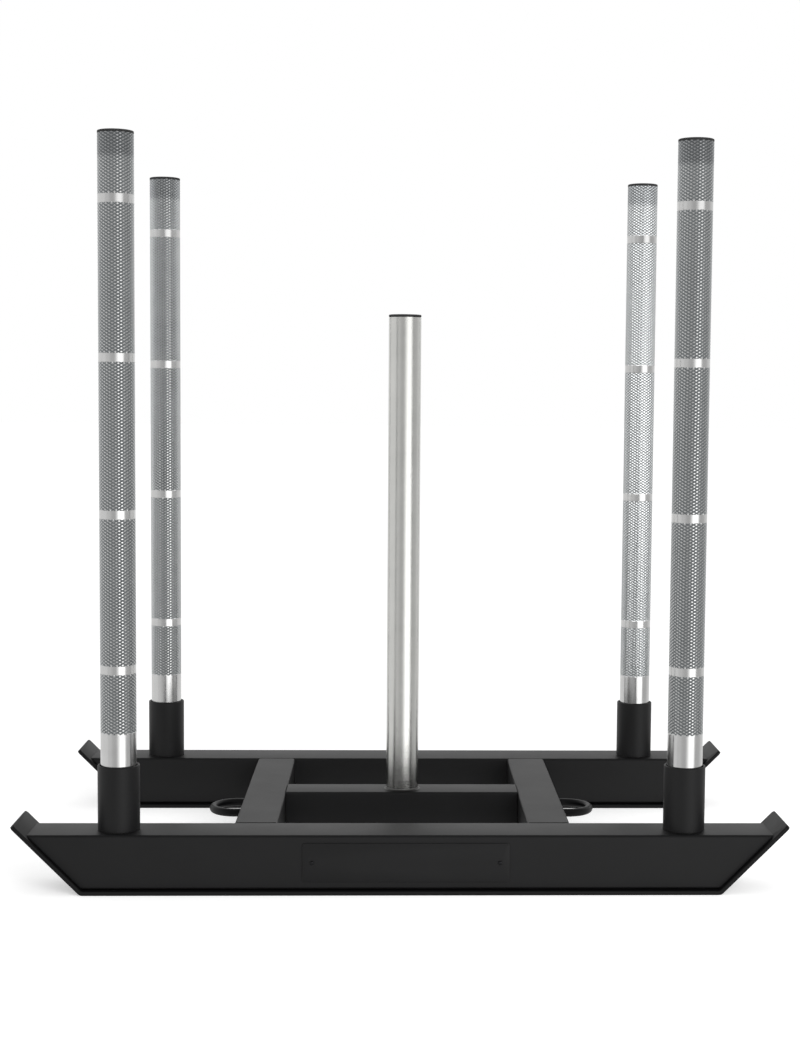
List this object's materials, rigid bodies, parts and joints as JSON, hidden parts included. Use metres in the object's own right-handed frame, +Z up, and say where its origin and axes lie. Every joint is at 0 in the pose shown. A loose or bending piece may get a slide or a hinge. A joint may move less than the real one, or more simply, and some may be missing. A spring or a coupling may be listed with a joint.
{
  "type": "weight sled",
  "caption": "Push and pull weight sled: two skid runners, cross members, a central plate post, lift-out knurled push poles in sockets, and a tow ring at each end.",
  "frame": {"origin": "on the floor, under the middle of the sled's outer box", "axes": "+X towards the front along the runners, +Y towards the sled's left side, +Z up along the poles"},
  "size_m": [1.0862, 0.629, 1.0537],
  "materials": {
    "frame_coat": "matte black powder coat on steel tube",
    "skid_coat": "matte black powder coat on steel plate",
    "ring_coat": "satin black powder coat on bent steel bar",
    "post_steel": "fine brushed stainless steel",
    "pole_steel": "stainless steel with diamond knurling between plain bands",
    "cap_plastic": "moulded black plastic",
    "name_plate": "dark satin enamel, bare",
    "screw_steel": "black zinc plated"
  },
  "bodies": {
    "sled_frame": {"right_runner": "frame_coat", "left_runner": "frame_coat", "right_skid": "skid_coat", "left_skid": "skid_coat", "front_cross_member": "frame_coat", "rear_cross_member": "frame_coat", "centre_beam": "frame_coat", "plate_post": "post_steel", "plate_post_cap": "cap_plastic", "front_right_socket": "frame_coat", "front_left_socket": "frame_coat", "rear_right_socket": "frame_coat", "rear_left_socket": "frame_coat", "front_tow_ring": "ring_coat", "rear_tow_ring": "ring_coat", "name_plate": "name_plate", "front_plate_screw": "screw_steel", "rear_plate_screw": "screw_steel"},
    "front_right_push_pole": {"front_right_pole": "pole_steel", "front_right_pole_cap": "cap_plastic"},
    "front_left_push_pole": {"front_left_pole": "pole_steel", "front_left_pole_cap": "cap_plastic"},
    "rear_right_push_pole": {"rear_right_pole": "pole_steel", "rear_right_pole_cap": "cap_plastic"},
    "rear_left_push_pole": {"rear_left_pole": "pole_steel", "rear_left_pole_cap": "cap_plastic"}
  },
  "joints": [
    {"name": "front_right_pole_lift", "type": "slide", "parent": "sled_frame", "child": "front_right_push_pole", "axis": [0, 0, 1], "range_m": [0, 0.1]},
    {"name": "front_left_pole_lift", "type": "slide", "parent": "sled_frame", "child": "front_left_push_pole", "axis": [0, 0, 1], "range_m": [0, 0.1]},
    {"name": "rear_right_pole_lift", "type": "slide", "parent": "sled_frame", "child": "rear_right_push_pole", "axis": [0, 0, 1], "range_m": [0, 0.1]},
    {"name": "rear_left_pole_lift", "type": "slide", "parent": "sled_frame", "child": "rear_left_push_pole", "axis": [0, 0, 1], "range_m": [0, 0.1]}
  ]
}
